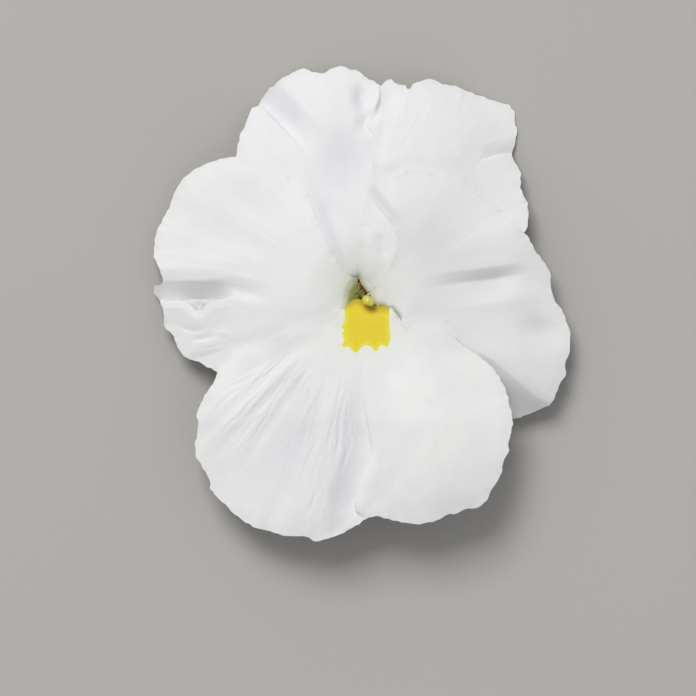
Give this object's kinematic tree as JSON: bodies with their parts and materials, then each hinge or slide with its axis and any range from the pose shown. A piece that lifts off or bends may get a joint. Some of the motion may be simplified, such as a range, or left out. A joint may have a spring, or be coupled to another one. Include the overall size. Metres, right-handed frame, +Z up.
{
  "type": "pansy flower",
  "caption": "Picked pansy bloom lying face up: broad wavy overlapping petals, hollow spur, eared sepals, stamens and pistil, on a short hooked stalk.",
  "frame": {"origin": "on the surface the flower lies on, under the middle of its bounding box", "axes": "+Z up from the surface, the way the bloom faces; +Y from the lower petal towards the upper petals, its longest extent; +X to the right as seen from the front"},
  "size_m": [0.0748, 0.085, 0.0142],
  "materials": {
    "petal_upper": "soft matt white petal",
    "petal_side": "soft matt white petal",
    "petal_lower": "soft matt white petal with a yellow blotch at the throat",
    "sepal": "smooth green leaf",
    "stalk": "smooth fresh green stalk",
    "bractlet": "smooth green leaf",
    "pistil": "moist yellow-green",
    "stamen": "powdery ochre"
  },
  "bodies": {
    "root": {"petal_upper_left": "petal_upper", "petal_upper_right": "petal_upper", "petal_left": "petal_side", "petal_right": "petal_side", "petal_lower": "petal_lower", "sepal_top": "sepal", "sepal_left": "sepal", "sepal_right": "sepal", "sepal_low_left": "sepal", "sepal_low_right": "sepal", "stem": "stalk", "bractlet_left": "bractlet", "bractlet_right": "bractlet", "pistil": "pistil", "stamen_top": "stamen", "stamen_left": "stamen", "stamen_right": "stamen", "stamen_low_left": "stamen", "stamen_low_right": "stamen"}
  },
  "joints": []
}
